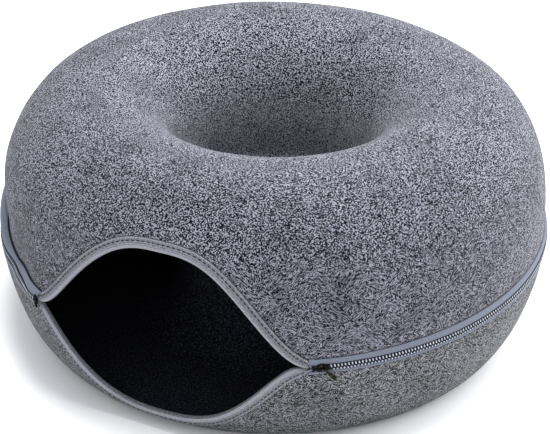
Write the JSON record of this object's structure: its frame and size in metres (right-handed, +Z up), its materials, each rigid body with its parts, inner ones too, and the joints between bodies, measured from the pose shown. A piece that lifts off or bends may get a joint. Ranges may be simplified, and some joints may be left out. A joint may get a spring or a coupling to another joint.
{
  "type": "donut pet bed",
  "caption": "Round felt tunnel bed for a cat: two moulded ring shells zipped together round the seam, with a bound almond entrance in the side and a sunken middle seat.",
  "frame": {"origin": "on the floor under the middle of the whole bed's box; the ring's own axis is 9.3 mm towards -Y of it, because the entrance cuts the front of the ring back", "axes": "+Z up along the ring's axis, -Y out through the entrance, +X to the right of someone facing the entrance"},
  "size_m": [0.6017, 0.5832, 0.274],
  "materials": {
    "felt": "heather grey needle felt, dark inside",
    "binding": "light grey folded tape, one stitched row",
    "zip_tape": "blue-grey woven tape",
    "zip_teeth": "grey nylon teeth with a soft shine",
    "slider_metal": "antique brass"
  },
  "bodies": {
    "root": {"felt_upper": "felt", "felt_lower": "felt", "binding_upper": "binding", "binding_lower": "binding", "zip_tape_upper": "zip_tape", "zip_tape_lower": "zip_tape", "zip_chain": "zip_teeth", "zip_slider": "slider_metal", "zip_pull": "slider_metal"}
  },
  "joints": []
}
